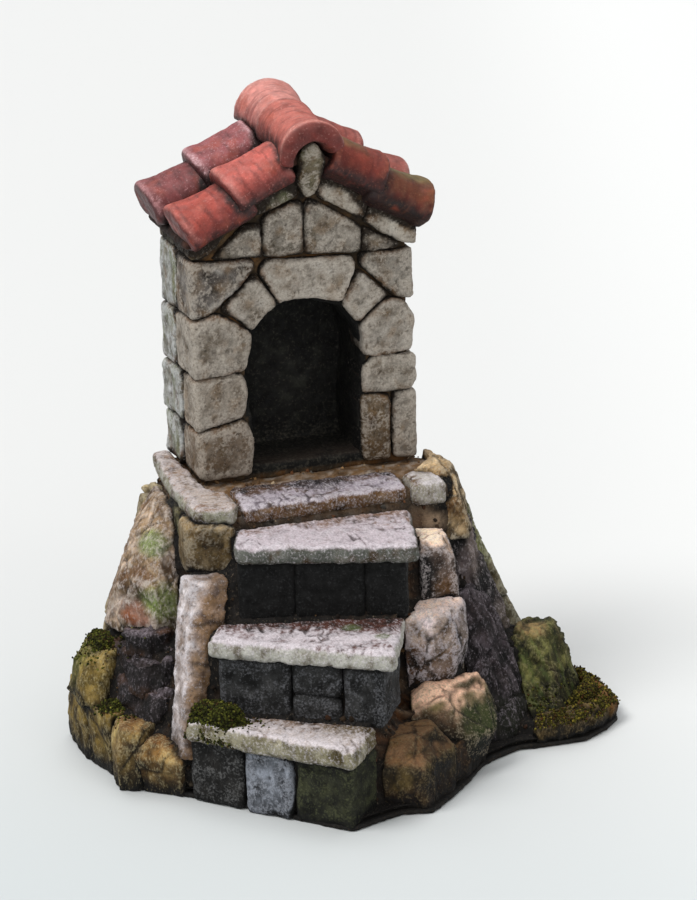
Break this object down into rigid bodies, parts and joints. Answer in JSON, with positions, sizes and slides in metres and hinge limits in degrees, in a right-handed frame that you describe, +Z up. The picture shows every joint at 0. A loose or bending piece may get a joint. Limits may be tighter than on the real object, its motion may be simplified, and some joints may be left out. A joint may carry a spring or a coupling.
{
  "type": "tabletop terrain shrine",
  "caption": "Small stone wayside shrine with an arched niche and pantile roof, on a rocky outcrop with a winding slab stair, for tabletop terrain.",
  "frame": {"origin": "underside of the base board, at the middle of the piece's footprint", "axes": "+Z up, -Y the side the niche and stair face, +X to the right seen from the front"},
  "size_m": [0.0828, 0.072, 0.096],
  "materials": {
    "wall_stone": "matt painted stone, dry-brushed pale grey over brown",
    "slab_stone": "matt painted stone, dry-brushed lilac white over brown",
    "riser_stone": "matt near-black stone with grey speckle",
    "cheek_stone": "matt painted stone, pale tops, brown sides",
    "rock": "matt painted rock, ochre, green and dark brown",
    "mortar": "matt near-black mortar with rust wash",
    "roof_tile": "satin painted terracotta with purple-brown shadows",
    "roof_bedding": "matt dark red-brown",
    "moss": "loose flock, dark olive with yellow-green grains",
    "base_edge": "matt black painted rim"
  },
  "bodies": {
    "root": {"apex_stone": "wall_stone", "back_wall_stones": "wall_stone", "base_board": "base_edge", "cheek_stone_1": "cheek_stone", "cheek_stone_2": "cheek_stone", "cheek_stone_3": "cheek_stone", "cheek_stone_4": "cheek_stone", "cheek_stone_5": "cheek_stone", "cheek_stone_6": "cheek_stone", "keystone": "wall_stone", "landing_rock": "rock", "left_boulder": "rock", "left_columns": "rock", "left_crag": "rock", "left_kerb": "cheek_stone", "left_kerb_blocks": "cheek_stone", "left_ledges": "rock", "left_stringer": "cheek_stone", "left_wall_stones": "wall_stone", "moss_tufts": "moss", "mossy_boulder": "rock", "quoin_left_1": "wall_stone", "quoin_left_2": "wall_stone", "quoin_left_3": "wall_stone", "quoin_right_1": "wall_stone", "quoin_right_2": "wall_stone", "quoin_right_3": "wall_stone", "quoin_right_4": "wall_stone", "rear_rock_left": "rock", "rear_rock_middle": "rock", "rear_rock_right": "rock", "ridge_tile_front": "roof_tile", "ridge_tile_rear": "roof_tile", "right_dark_rock": "rock", "right_slab": "rock", "right_striated_rock": "rock", "right_wall_stones": "wall_stone", "riser_1_blocks": "riser_stone", "riser_2_blocks": "riser_stone", "riser_3_blocks": "riser_stone", "rock_fill": "rock", "roof_deck": "roof_bedding", "roof_tiles_left": "roof_tile", "roof_tiles_right": "roof_tile", "shrine_core": "mortar", "sill_slab": "slab_stone", "sill_stub": "slab_stone", "spandrel_left": "wall_stone", "spandrel_right": "wall_stone", "toe_shelf": "rock", "tread_1": "slab_stone", "tread_2": "slab_stone", "tread_3": "slab_stone", "tympanum_stones": "wall_stone", "verge_stones_left": "wall_stone", "verge_stones_right": "wall_stone", "voussoir_left": "wall_stone", "voussoir_right": "wall_stone"}
  },
  "joints": []
}
